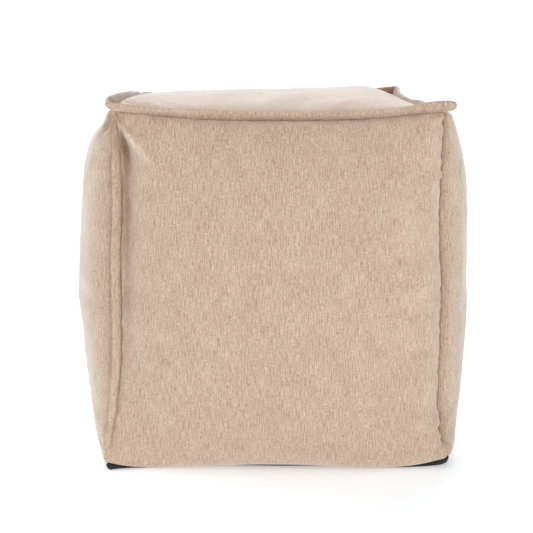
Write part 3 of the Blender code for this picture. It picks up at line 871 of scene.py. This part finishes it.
def cover_grids(sizes, seed):
    """Side panels, top panel and the flat underside of the filled cube."""
    s, t = panel_places(sizes)
    grids = []
    for i, panel in enumerate(settled_panels(sizes, s, t)):
        points, cloth = relieved(sizes, panel, seed + 20 * i)
        painted_sheen_wash = np.zeros(points.shape[:2])
        # Side panels take painted shade in their troughs and painted highlight on ridge crests; the
        # top panel has its weave's contrast painted down where the sheen lies.
        if i < len(SIDES):
            painted_shading = painted_shading_of(SIDES[i], points)
        else:
            painted_shading, painted_sheen_wash = painted_sheen_wash, painted_sheen_wash + TOP_SHEEN_WASH
        grids.append((points, cloth + (i, 0.0), painted_shading, painted_sheen_wash))
    hem = hem_ring(sizes, s)
    flat = towards_flat(sizes, hem, np.ones(len(hem)), BASE_THICKNESS + BASE_FLAT_GAP)
    middle = np.zeros_like(flat)
    middle[:, 2] = flat[:, 2]
    grids.append(stacked([middle, flat, hem]))
    return grids


def eased(table, column, s):
    """The table's column at s, easing in and out between its rows."""
    places = np.array([row[0] for row in table])
    values = np.array([row[column] for row in table])
    i = np.clip(np.searchsorted(places, s, side="right") - 1, 0, len(places) - 2)
    share = unit((s - places[i]) / (places[i + 1] - places[i]))
    share = share**2 * (3.0 - 2.0 * share)
    return values[i] + (values[i + 1] - values[i]) * share


def strip_outline():
    """Section of the fold as (share of the width, share of the half-thickness): out along one
    face, round the free edge by a half ellipse and back along the other face."""
    flat = np.linspace(0.0, STRIP_ROUND_SHARE, STRIP_FLAT_STEPS, endpoint=False)
    turn = np.linspace(0.5 * math.pi, -0.5 * math.pi, STRIP_TIP_STEPS + 1)
    out = np.concatenate([flat, STRIP_ROUND_SHARE + (1 - STRIP_ROUND_SHARE) * np.cos(turn),
                          flat[::-1]])
    rise = np.sin(0.5 * math.pi * flat / STRIP_ROUND_SHARE)
    side = np.concatenate([rise, np.sin(turn), -rise[::-1]])
    face = np.concatenate([np.ones(len(flat)), np.sin(turn), -np.ones(len(flat))])
    return out, side, face


def folded_strip(root, out, up, width, fullness, bend=0.0, slit=0.0):
    """Outer and inner skin of a folded strip, as grids of stations by places round the fold.

    out points along the strip's width and up across its thickness. A skin's point is the root
    plus its share of the width along out plus its half-thickness along up, which grows by a
    quarter sine from the root and ends in a half ellipse. The inner skin lies one cloth inside.
    The edge bends off towards up by a share of the width, and a slit of its own depth parts
    the two layers of the edge.
    """
    along, rise, face = strip_outline()
    skins = []
    for inset in (0.0, STRIP_CLOTH):
        parted = slit * np.exp(-((rise / STRIP_SLIT_SPREAD) ** 2)) * (along > STRIP_ROUND_SHARE)
        reach = along * (width[:, None] - inset) - parted
        full = STRIP_HALF * fullness[:, None]
        half = STRIP_ROOT_HALF * (face - rise) + full * rise
        half = half - inset * face
        least = STRIP_LEAST_SHARE * STRIP_ROOT_HALF * face
        half = np.where(np.abs(half) < np.abs(least), least, half)
        half = half + bend * reach**2 / width[:, None]
        skins.append(
            root[:, None] + out[:, None] * reach[..., None] + up[:, None] * half[..., None])
    return skins


def strip_grids(skins, closed, shaded=0.0):
    """Grids of a strip: outer skin, inner skin, the raw edges at the root and, where it isn't
    closed to a ring, its cut ends. shaded is how much painted shade the strip takes at each
    station. The threads run across a ring and along an open strip."""
    outer, inner = skins
    if closed:
        outer = np.concatenate([outer, outer[:1]])
        inner = np.concatenate([inner, inner[:1]])
    width = lengths_along(outer, 1)
    length = np.broadcast_to(lengths_along(outer, 0)[:, :1], width.shape)
    cloth = np.stack([length, width] if closed else [width, length], axis=-1)
    share = width / width[:, -1:]
    # Painted shade: a ring takes it on the face towards the top panel, fading to nothing at its free
    # edge; an open strip takes it at its roots and, short of its free edge, by shaded.
    if closed:
        painted_shading = INNER_PAINTED_SHADE * unit(1.0 - (2.0 * share) ** INNER_PAINTED_SHADE_POWER)
    else:
        from_root = np.minimum(width, width[:, -1:] - width)
        bright = 1.0 - np.abs(2.0 * share - 1.0) > PAINTED_SHADE_TO
        painted_shading = np.exp(-((from_root / ROOT_PAINTED_SHADE_REACH) ** 2))
        painted_shading = np.maximum(painted_shading, np.where(bright, 0.0, shaded))
    grids = [(outer, cloth, painted_shading), (inner, cloth, painted_shading)]
    for edge in (0, -1):
        pair = np.stack([outer[:, edge], inner[:, edge]])
        grids.append((pair, np.stack([cloth[:, edge]] * 2)))
    if not closed:
        for end in (0, -1):
            grids.append((np.stack([outer[end], inner[end]]), np.stack([cloth[end]] * 2)))
    flat = (float(width[:, -1].mean()), float(length[-1].mean()))
    return grids, flat


def top_flange_skins(sizes):
    """The strip swept round the top seam, turning 45 degrees at each corner by a high power
    of s, with the width, slope and fullness of the table."""
    s = panel_places(sizes)[0][:-1]
    skins = []
    for row in SIDES:
        width, slope, fullness = (eased(TOP_FLANGE[row[0]], k, s) for k in (1, 2, 3))
        slope = np.radians(slope)
        heading = CORNER_TURN * np.sign(s) * np.abs(s) ** CORNER_TURN_POWER
        level = np.stack([np.sin(heading), -np.cos(heading), np.zeros_like(s)], axis=1)
        upright = np.array((0.0, 0.0, 1.0))
        out = level * np.cos(slope)[:, None] + upright * np.sin(slope)[:, None]
        up = upright * np.cos(slope)[:, None] - level * np.sin(slope)[:, None]
        root = np.stack(
            [s * sizes.reach_top, top_draw(sizes, s) - sizes.reach_top, top_seam_height(row, s)],
            axis=1)
        skins.append([wandered(turned(skin, row[1]))
                      for skin in folded_strip(root, out, up, width, fullness)])
    return [np.concatenate(parts) for parts in zip(*skins)]


def corner_flange_skins(sizes, row):
    """The strip swept up the upright seam at the side's left edge, swaying a little."""
    share = np.linspace(0.0, 1.0, CORNER_STATIONS)
    t = CORNER_FLANGE_FOOT + (CORNER_FLANGE_TOP - CORNER_FLANGE_FOOT) * share
    top, flare, root_heading, bend = CORNERS[row[5]]
    reach = seam_reach(sizes, t, flare)
    low = HEM_LOW + HEM_CORNERS[row[5]][0]
    root = np.stack([-reach, -reach, low + (top - low) * t], axis=1)
    sway = CORNER_FLANGE_SWAY * np.sin(CORNER_FLANGE_WAVES * math.pi * t)
    heading = sway + math.radians(root_heading)
    out = np.stack([np.sin(heading), -np.cos(heading), np.zeros_like(t)], axis=1)
    across = np.stack([np.cos(heading), np.sin(heading), np.zeros_like(t)], axis=1)
    full = 1.0 - np.abs(2.0 * share - 1.0) ** CORNER_FLANGE_TAPER_POWER
    width = sizes.corner_flange_end + (sizes.corner_flange - sizes.corner_flange_end) * full
    width = width * eased(STRIP_TAPER_AND_SHADE[row[5]], 1, share)
    fullness = np.full(len(t), sizes.corner_fullness)
    skins = folded_strip(root, out, across, width, fullness, bend, CORNER_SLIT)
    return [wandered(turned(skin, row[1])) for skin in skins]


def base_grids(sizes):
    """The base cloth: flat underside and top, and a rounded band turned up to the hem."""
    places = panel_places(sizes)[0]
    hem = hem_ring(sizes, places)
    s = np.tile(places[:-1], len(SIDES))
    s = np.append(s, s[0])
    tuck = np.interp(s, *zip(*BASE_TUCK))
    edge = towards_flat(sizes, hem, tuck, BASE_THICKNESS + BASE_FLAT_GAP)
    edge[:, 2] = np.maximum(edge[:, 2] - BASE_EDGE_GAP, BASE_LEAST_EDGE)
    flat = towards_flat(sizes, hem, np.ones(len(hem)), BASE_THICKNESS)
    side = np.repeat(np.arange(len(SIDES)), len(places) - 1)
    side = np.append(side, side[0])
    ends = np.array([[HEM_CORNERS[row[5]][2], HEM_CORNERS[row[6]][2]] for row in SIDES])
    rounding = np.where(s < 0.0, ends[side, 0], ends[side, 1])
    inset = (BASE_ROUNDING + rounding * np.abs(s) ** BASE_CORNER_POWER) / sizes.reach_hem
    rings = []
    for turn in np.linspace(0.0, 0.5 * math.pi, BASE_BAND_STEPS):
        ring = edge * (1.0 - inset * (1.0 - math.cos(turn)))[:, None]
        ring[:, 2] = edge[:, 2] * (1.0 - math.sin(turn))
        rings.append(ring)
    floor = rings[-1] * 0.0
    middle = floor.copy()
    middle[:, 2] = flat[:, 2]
    return [stacked([middle, flat] + rings + [floor])]


# ---- cloths


def link(tree, source, target):
    tree.links.new(source, target)


def node(tree, kind, **settings):
    made = tree.nodes.new(kind)
    for key, value in settings.items():
        setattr(made, key, value)
    return made


def math_node(tree, operation, first, second=None):
    """A Math node whose inputs are sockets or numbers."""
    made = node(tree, "ShaderNodeMath", operation=operation)
    for i, value in enumerate((first, second)):
        if value is None:
            continue
        if isinstance(value, (int, float)):
            made.inputs[i].default_value = value
        else:
            link(tree, value, made.inputs[i])
    return made.outputs[0]


def yarn_noise(tree, coords, across, along, detail, offset, weight):
    """Noise about 0, drawn out along the threads: cells across and along them for each metre."""
    scaled = node(tree, "ShaderNodeMapping")
    scaled.inputs["Scale"].default_value = (across, along, 1.0)
    scaled.inputs["Location"].default_value = (offset, offset, offset)
    link(tree, coords, scaled.inputs["Vector"])
    made = node(tree, "ShaderNodeTexNoise", noise_dimensions="2D")
    made.inputs["Scale"].default_value = 1.0
    made.inputs["Detail"].default_value = detail
    link(tree, scaled.outputs[0], made.inputs["Vector"])
    return math_node(tree, "MULTIPLY", math_node(tree, "SUBTRACT", made.outputs["Fac"], 0.5), weight)


def weave_group():
    """Shader group of a slubbed weave: yarn shade and yarn height from cloth coordinates."""
    group = bpy.data.node_groups.new("slub_weave", "ShaderNodeTree")
    for name, kind in (("Coordinates", "NodeSocketVector"), ("Contrast", "NodeSocketFloat"),
                       ("Mottle", "NodeSocketFloat")):
        group.interface.new_socket(name=name, in_out="INPUT", socket_type=kind)
    for name, kind in (("Shade", "NodeSocketFloat"), ("Height", "NodeSocketFloat")):
        group.interface.new_socket(name=name, in_out="OUTPUT", socket_type=kind)
    entry = node(group, "NodeGroupInput")
    leave = node(group, "NodeGroupOutput")
    coords = entry.outputs["Coordinates"]
    parts = [yarn_noise(group, coords, *noise, weight) for *noise, weight in WEAVE_YARNS]
    yarn = parts[0]
    for part in parts[1:]:
        yarn = math_node(group, "ADD", yarn, part)
    shade = math_node(group, "MULTIPLY", yarn, entry.outputs["Contrast"])
    slow = yarn_noise(group, coords, *WEAVE_MOTTLE, entry.outputs["Mottle"])
    shade = math_node(group, "ADD", math_node(group, "ADD", shade, slow), 0.5)
    link(group, shade, leave.inputs["Shade"])
    link(group, math_node(group, "ADD", yarn, 0.5), leave.inputs["Height"])
    return group


def weave_of(tree, contrast, mottle):
    """The weave group in a material, fed by the piece's own cloth coordinates."""
    coords = node(tree, "ShaderNodeUVMap", uv_map="cloth")
    weave = node(tree, "ShaderNodeGroup")
    weave.node_tree = bpy.data.node_groups.get("slub_weave") or weave_group()
    weave.inputs["Contrast"].default_value = contrast
    weave.inputs["Mottle"].default_value = mottle
    link(tree, coords.outputs["UV"], weave.inputs["Coordinates"])
    return weave


def new_material(name, finish):
    """A new material, its tree and its Principled shader with the finish's values."""
    made = bpy.data.materials.new(name)
    made.use_nodes = True
    shader = made.node_tree.nodes["Principled BSDF"]
    for socket, value in finish.items():
        shader.inputs[socket].default_value = value
    return made, made.node_tree, shader


def blended(tree, share, first, second, **settings):
    """Colour between the first and the second by the share."""
    mix = node(tree, "ShaderNodeMix", data_type="RGBA", **settings)
    link(tree, share, mix.inputs["Factor"])
    for socket, colour in (("A", first), ("B", second)):
        if isinstance(colour, tuple):
            mix.inputs[socket].default_value = (*colour, 1.0)
        else:
            link(tree, colour, mix.inputs[socket])
    return mix.outputs["Result"]


def add_bump(tree, shader, height, distance):
    bump = node(tree, "ShaderNodeBump")
    bump.inputs["Distance"].default_value = distance
    bump.inputs["Strength"].default_value = 1.0
    link(tree, height, bump.inputs["Height"])
    link(tree, bump.outputs["Normal"], shader.inputs["Normal"])


def heathered_cloth(cloths):
    """Matt heathered cloth: yarns between a dark and a light shade, with a soft sheen. Painted
    shade darkens its colour in troughs and at flange roots, painted highlight lightens it on
    crests, and the weave's contrast is painted down on the top panel where the sheen lies.
    """
    known = bpy.data.materials.get("heathered_weave")
    if known:
        return known
    made, tree, shader = new_material("heathered_weave", HEATHER_FINISH)
    weave = weave_of(tree, *HEATHER_WEAVE)
    # On the top panel the weave's contrast is painted down, standing in for the sheen
    sheen_wash = node(tree, "ShaderNodeAttribute", attribute_name="painted_sheen_wash")
    kept = math_node(tree, "SUBTRACT", 1.0, sheen_wash.outputs["Fac"])
    off = math_node(tree, "SUBTRACT", weave.outputs["Shade"], 0.5)
    shade = math_node(tree, "ADD", math_node(tree, "MULTIPLY", off, kept), 0.5)
    yarn = blended(tree, shade, tuple(cloths.yarn_dark), tuple(cloths.yarn_light))
    # Painted shade darkens the colour and painted highlight lightens it, by the attribute
    painted_shading = node(tree, "ShaderNodeAttribute", attribute_name="painted_shading").outputs["Fac"]
    colour = blended(tree, painted_shading, yarn, tuple(cloths.painted_shade_dim), blend_type="MULTIPLY",
                     clamp_factor=False)
    link(tree, colour, shader.inputs["Base Color"])
    add_bump(tree, shader, weave.outputs["Height"], cloths.relief)
    return made


def black_cloth(cloths):
    """Matt black cloth with a fine even weave."""
    known = bpy.data.materials.get("black_weave")
    if known:
        return known
    made, tree, shader = new_material("black_weave", BLACK_FINISH)
    weave = weave_of(tree, *BLACK_WEAVE)
    shades = [tuple(share * c for c in cloths.black) for share in BLACK_YARNS]
    link(tree, blended(tree, weave.outputs["Shade"], *shades), shader.inputs["Base Color"])
    add_bump(tree, shader, weave.outputs["Height"], cloths.relief)
    return made


# ---- operators


def cloth_piece(scene, name, grids, node_name, slot="heathered_cloth"):
    """A closed piece of one of the two cloths, in the material that the slot's name picks. It rides
    on the stool and hides its CAD node."""
    finish = {"heathered_cloth": heathered_cloth, "black_cloth": black_cloth}[slot]
    piece = grid_mesh(name, grids, finish(scene.pouf_cloths))
    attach(piece, "root")
    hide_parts(node_name)
    return piece


class POUF_OT_cover(bpy.types.Operator):
    """Makes the filled cube of heathered cloth"""

    bl_idname = "pouf.cover"
    bl_label = "Filled cover"

    def execute(self, context):
        scene = context.scene
        grids = cover_grids(scene.pouf_sizes, scene.pouf_cloths.seed)
        piece = cloth_piece(scene, "cover_cloth", grids, "filled_cover")
        return {"FINISHED"}


class POUF_OT_top_flange(bpy.types.Operator):
    """Makes the folded strip round the top seam"""

    bl_idname = "pouf.top_flange"
    bl_label = "Top flange"

    def execute(self, context):
        scene = context.scene
        skins = top_flange_skins(scene.pouf_sizes)
        grids, flat = strip_grids(skins, closed=True)
        piece = cloth_piece(scene, "top_flange_strip", grids, "top_flange")
        return {"FINISHED"}


class POUF_OT_corner_flanges(bpy.types.Operator):
    """Makes the folded strips in the four upright seams"""

    bl_idname = "pouf.corner_flanges"
    bl_label = "Upright flanges"

    def execute(self, context):
        scene = context.scene
        for row in SIDES:
            skins = corner_flange_skins(scene.pouf_sizes, row)
            share = np.linspace(0.0, 1.0, CORNER_STATIONS)
            # Painted shade of each strip's faces, from the table's third column
            shaded = eased(STRIP_TAPER_AND_SHADE[row[5]], 2, share)[:, None]
            grids, flat = strip_grids(skins, closed=False, shaded=shaded)
            piece = cloth_piece(
                scene, "corner_strip_" + row[5], grids, "corner_flange_" + row[5])
        return {"FINISHED"}


class POUF_OT_base_cloth(bpy.types.Operator):
    """Makes the black cloth under the stool"""

    bl_idname = "pouf.base_cloth"
    bl_label = "Base cloth"

    def execute(self, context):
        scene = context.scene
        grids = base_grids(scene.pouf_sizes)
        piece = cloth_piece(scene, "base_sheet", grids, "base_cloth", "black_cloth")
        return {"FINISHED"}


def studio_floor():
    """A pale square on the floor's plane that glows a little, less so in the picture."""
    mesh = bpy.data.meshes.new("studio_floor")
    corners = [(x * FLOOR_HALF, y * FLOOR_HALF, 0.0) for x, y in FLOOR_CORNERS]
    mesh.from_pydata(corners, [], [(0, 1, 2, 3)])
    white, tree, shader = new_material("studio_white", FLOOR_FINISH)
    floor_ray = node(tree, "ShaderNodeLightPath").outputs["Is Camera Ray"]
    dimming = math_node(tree, "MULTIPLY", floor_ray, FLOOR_SEEN_GLOW - FLOOR_GLOW)
    link(tree, math_node(tree, "ADD", dimming, FLOOR_GLOW), shader.inputs["Emission Strength"])
    mesh.materials.append(white)
    return bpy.data.objects.new("studio_floor", mesh)


def studio_world():
    """A dim white sky for the light, and a bright one where the camera sees it."""
    world = bpy.data.worlds.new("studio_world")
    world.use_nodes = True
    tree = world.node_tree
    either = node(tree, "ShaderNodeMixShader")
    link(tree, node(tree, "ShaderNodeLightPath").outputs["Is Camera Ray"], either.inputs[0])
    for i, strength in enumerate((SKY_STRENGTH, BACKDROP_STRENGTH), start=1):
        sky = node(tree, "ShaderNodeBackground")
        sky.inputs["Color"].default_value = (1.0, 1.0, 1.0, 1.0)
        sky.inputs["Strength"].default_value = strength
        link(tree, sky.outputs[0], either.inputs[i])
    link(tree, either.outputs[0], tree.nodes["World Output"].inputs[0])
    return world


def studio_light(name, place, strength, spread):
    """A far, soft light from the direction of the place."""
    light = bpy.data.lights.new(name, "SUN")
    light.energy = strength
    light.angle = math.radians(spread)
    lamp = bpy.data.objects.new(name, light)
    lamp.rotation_euler = Vector(place).to_track_quat("Z", "Y").to_euler()
    return lamp


def studio_camera():
    """The camera at the photograph's viewing angle."""
    lens = bpy.data.cameras.new("camera")
    lens.lens = LENS
    lens.shift_y = CAMERA_SHIFT
    camera = bpy.data.objects.new("camera", lens)
    camera.location = CAMERA_PLACE
    camera.rotation_euler = (math.radians(90 - CAMERA_PITCH), 0.0, math.radians(CAMERA_TURN))
    return camera


class POUF_OT_stage(bpy.types.Operator):
    """Makes the floor, the light and the camera"""

    bl_idname = "pouf.stage"
    bl_label = "Studio"

    def execute(self, context):
        scene = context.scene
        floor, camera = studio_floor(), studio_camera()
        lamps = [studio_light(*row) for row in STUDIO_LIGHTS]
        for item in [floor, camera] + lamps:
            scene.collection.objects.link(item)
        scene.world = studio_world()
        scene.camera = camera
        scene.view_settings.view_transform = "Standard"
        return {"FINISHED"}


class VIEW3D_PT_pouf(bpy.types.Panel):
    """Lists the stool's pieces, sizes and cloths"""

    bl_label = "Cube Pouf Stool"
    bl_space_type = "VIEW_3D"
    bl_region_type = "UI"
    bl_category = "Pouf"

    def draw(self, context):
        for operator in OPERATORS:
            self.layout.operator(operator.bl_idname)
        for group in (context.scene.pouf_sizes, context.scene.pouf_cloths):
            box = self.layout.box()
            for name in group.__annotations__:
                box.prop(group, name)


OPERATORS = (
    POUF_OT_cover,
    POUF_OT_top_flange,
    POUF_OT_corner_flanges,
    POUF_OT_base_cloth,
    POUF_OT_stage,
)
CLASSES = (PoufSizes, PoufCloths) + OPERATORS + (VIEW3D_PT_pouf,)


def register():
    for item in CLASSES:
        bpy.utils.register_class(item)
    bpy.types.Scene.pouf_sizes = PointerProperty(type=PoufSizes)
    bpy.types.Scene.pouf_cloths = PointerProperty(type=PoufCloths)


def unregister():
    del bpy.types.Scene.pouf_cloths
    del bpy.types.Scene.pouf_sizes
    for item in reversed(CLASSES):
        bpy.utils.unregister_class(item)


def main():
    register()
    bpy.ops.pouf.cover()
    bpy.ops.pouf.top_flange()
    bpy.ops.pouf.corner_flanges()
    bpy.ops.pouf.base_cloth()
    bpy.ops.pouf.stage()


if __name__ == "__main__":
    main()
